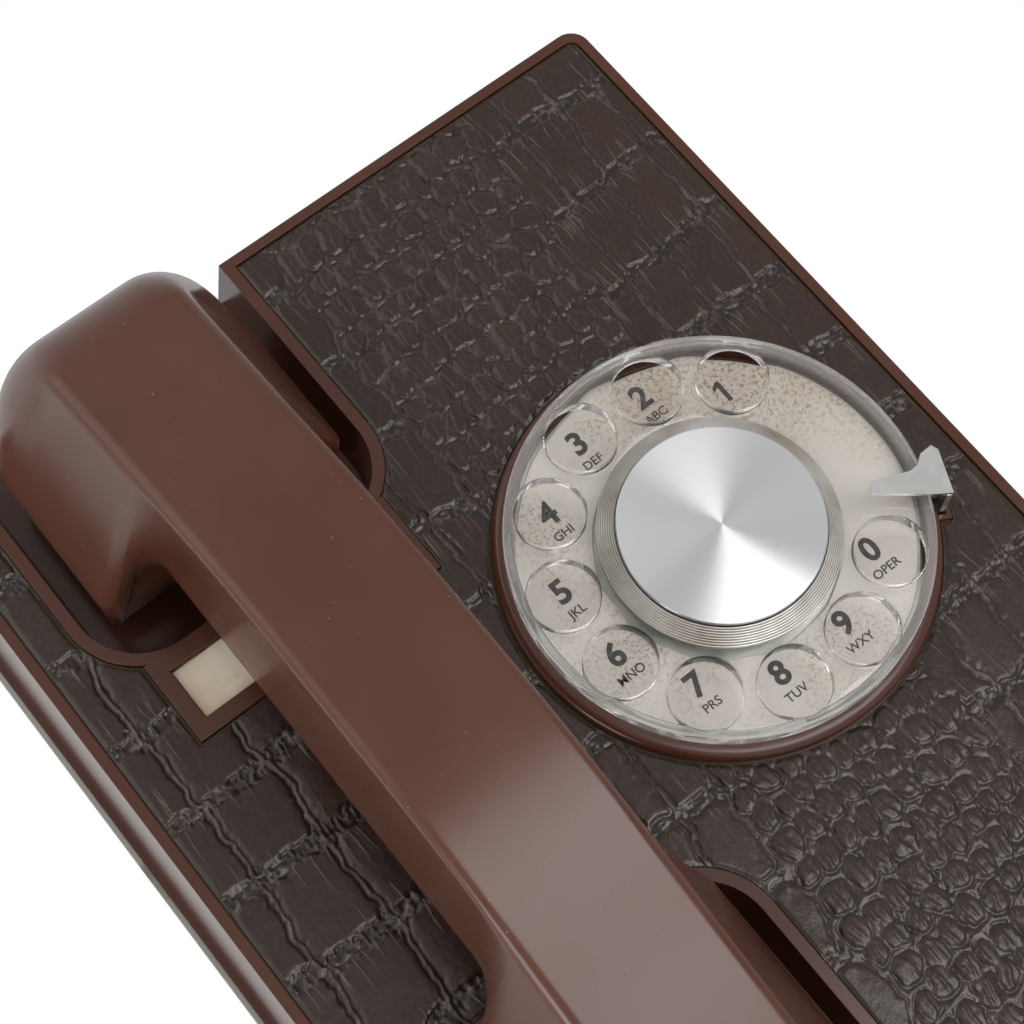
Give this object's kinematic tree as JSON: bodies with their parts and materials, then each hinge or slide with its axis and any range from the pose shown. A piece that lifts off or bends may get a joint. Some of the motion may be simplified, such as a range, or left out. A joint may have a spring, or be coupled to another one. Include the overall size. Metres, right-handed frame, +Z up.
{
  "type": "rotary wall telephone",
  "caption": "Slim wall telephone with a rotary dial, a leather-covered face and a handset lying in two recesses.",
  "frame": {"origin": "centre of the back plate's wall side, on the wall plane", "axes": "+X to the right seen from the front, +Y into the wall, +Z up the phone"},
  "size_m": [0.165, 0.0865, 0.2136],
  "materials": {
    "gloss_brown": "glossy, moulded in one brown",
    "leather_brown": "embossed, semi-matt",
    "card_paper": "plain cream card",
    "clear": "clear moulded plastic",
    "dark_plastic": "satin",
    "dark_brown": "glossy",
    "zinc_steel": "zinc plated",
    "bright_steel": "bright",
    "spun_aluminium": "turned, satin",
    "silver_plate": "satin silver",
    "plain_brass": "plain",
    "copper_wire": "enamelled wire",
    "white_plastic": "ivory",
    "grey_plastic": "matt",
    "fibre_board": "matt"
  },
  "bodies": {
    "phone": {"base_plate": "zinc_steel", "housing": "gloss_brown", "leather_panel": "leather_brown", "number_card": "card_paper", "card_window": "clear", "housing_screws": "zinc_steel", "line_jack": "dark_plastic", "dial_bezel": "gloss_brown", "number_plate": "silver_plate", "dial_frame": "zinc_steel", "dial_screws": "zinc_steel", "finger_stop": "bright_steel", "main_spring": "bright_steel", "governor_cup": "zinc_steel", "rear_bridge": "zinc_steel", "pulse_contacts": "fibre_board", "hook_bracket": "zinc_steel", "hook_contacts": "fibre_board", "ringer_frame": "zinc_steel", "ringer_coils": "copper_wire", "gong_low": "plain_brass", "gong_high": "plain_brass", "gong_screws": "zinc_steel", "clapper_pin": "bright_steel", "network_block": "grey_plastic", "network_screws": "plain_brass", "line_terminals": "grey_plastic"},
    "dial": {"finger_wheel": "clear", "center_disc": "spun_aluminium", "hub_nut": "zinc_steel", "dial_shaft": "bright_steel", "main_gear": "plain_brass", "pulse_cam": "dark_plastic"},
    "governor": {"governor_shaft": "bright_steel", "governor_pinion": "plain_brass", "governor_weights": "plain_brass"},
    "hook": {"hook_plunger": "white_plastic", "plunger_clip": "zinc_steel"},
    "clapper": {"clapper": "bright_steel"},
    "handset": {"handset_shell": "gloss_brown", "handset_cover": "gloss_brown", "ear_cap": "dark_brown", "mouth_cap": "dark_brown", "receiver_capsule": "zinc_steel", "transmitter_capsule": "zinc_steel", "handset_screws": "zinc_steel", "handset_jack": "dark_plastic"}
  },
  "joints": [
    {"name": "dial_spin", "type": "hinge", "parent": "phone", "child": "dial", "pos_m": [0.03, -0.04, 0.0035], "axis": [0, 1, 0], "range_deg": [0, 330], "stiffness_Nm_per_rad": 0.012},
    {"name": "governor_spin", "type": "hinge", "parent": "phone", "child": "governor", "pos_m": [0.03582, -0.02, 0.02523], "axis": [0, 1, 0], "range_deg": [-1322, 2]},
    {"name": "handset_lift", "type": "slide", "parent": "phone", "child": "handset", "axis": [0, -1, 0], "range_m": [0, 0.06]},
    {"name": "hook_rise", "type": "slide", "parent": "phone", "child": "hook", "axis": [0, -1, 0], "range_m": [0, 0.004]},
    {"name": "clapper_swing", "type": "hinge", "parent": "phone", "child": "clapper", "pos_m": [0.03608, -0.015, 0.06], "axis": [0, 1, 0], "range_deg": [-6, 6], "stiffness_Nm_per_rad": 0.02}
  ],
  "couplings": [
    {"joint": "governor_spin", "follows": "dial_spin", "ratio": -4},
    {"joint": "hook_rise", "follows": "handset_lift", "ratio": 0.0666}
  ]
}
